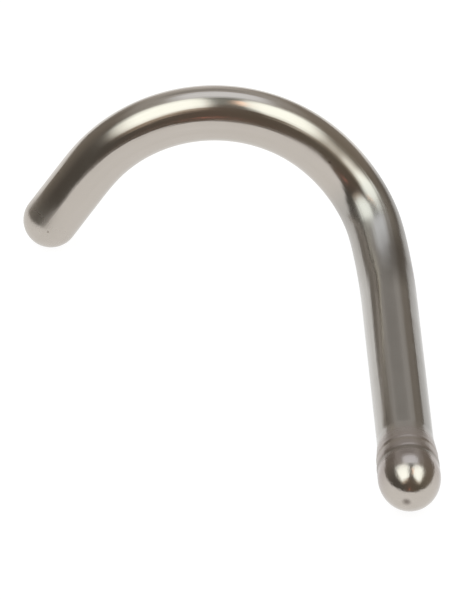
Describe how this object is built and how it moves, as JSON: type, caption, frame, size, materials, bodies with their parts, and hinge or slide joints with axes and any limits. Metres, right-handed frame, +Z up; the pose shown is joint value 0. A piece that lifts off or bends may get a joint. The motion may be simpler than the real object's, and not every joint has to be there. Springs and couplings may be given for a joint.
{
  "type": "nose bar",
  "caption": "Nose screw bent from steel wire: a small ball head with a ringed collar, a straight post, and an open hook with a rounded tip that holds it inside the nostril.",
  "frame": {"origin": "on the surface that the part lies on, under the middle of its box", "axes": "+Y along the post, from the ball towards the hook; +Z up from the surface; +X to the right seen from the ball, so the hook opens towards -X"},
  "size_m": [0.0056, 0.0078, 0.0025],
  "materials": {
    "polished_steel": "polished"
  },
  "bodies": {
    "root": {"nose_screw": "polished_steel"}
  },
  "joints": []
}
